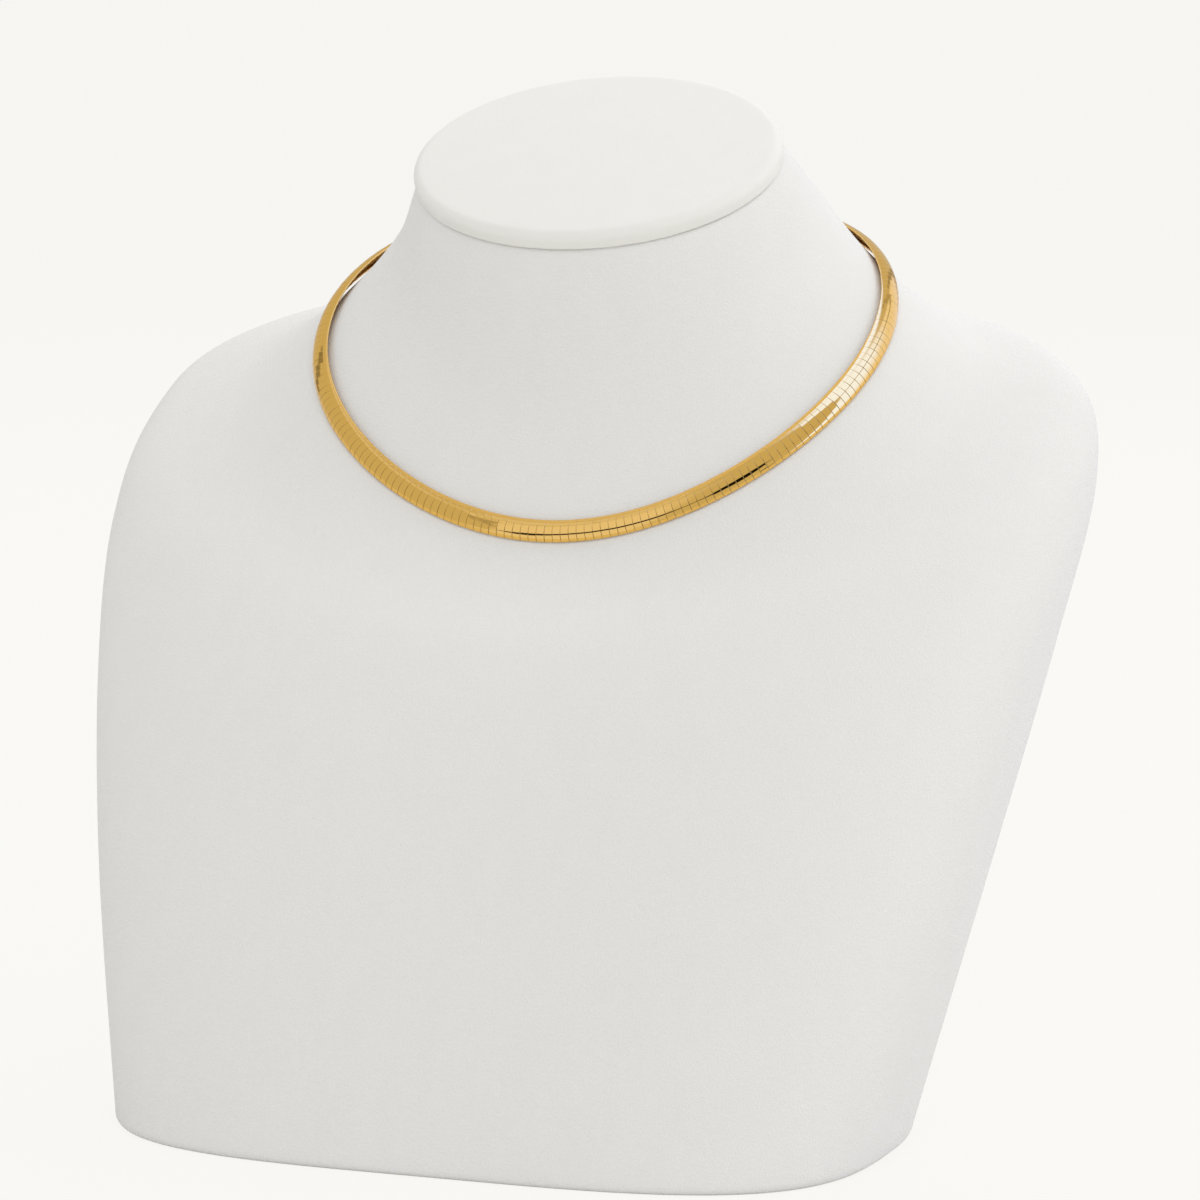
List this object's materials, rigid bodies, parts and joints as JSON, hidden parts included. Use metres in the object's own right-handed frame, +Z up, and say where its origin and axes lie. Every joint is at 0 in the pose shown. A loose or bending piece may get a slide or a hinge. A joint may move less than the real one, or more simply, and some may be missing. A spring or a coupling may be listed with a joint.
{
  "type": "omega necklace on neck bust",
  "caption": "Domed omega collar necklace of narrow gold plates on a woven mesh, resting round the neck of a plain leatherette display bust with a padded oval top.",
  "frame": {"origin": "middle of the bust's flat base, in the plane that it stands on", "axes": "+Z up, -Y the way the bust faces, +X towards the wearer's left"},
  "size_m": [0.234, 0.1771, 0.2333],
  "materials": {
    "leatherette": "off-white fine-grained leatherette, matt",
    "leatherette_cap": "off-white fine-grained leatherette over a thin pad, matt",
    "woven_gold": "woven gold wire mesh, in shade between the plates",
    "gold_plates": "polished yellow gold, domed plates",
    "gold_fittings": "polished yellow gold, plain"
  },
  "bodies": {
    "root": {"bust_form": "leatherette", "neck_cap": "leatherette_cap", "mesh_core": "woven_gold", "links": "gold_plates", "end_cap_left": "gold_fittings", "end_cap_right": "gold_fittings", "clasp": "gold_fittings"}
  },
  "joints": []
}
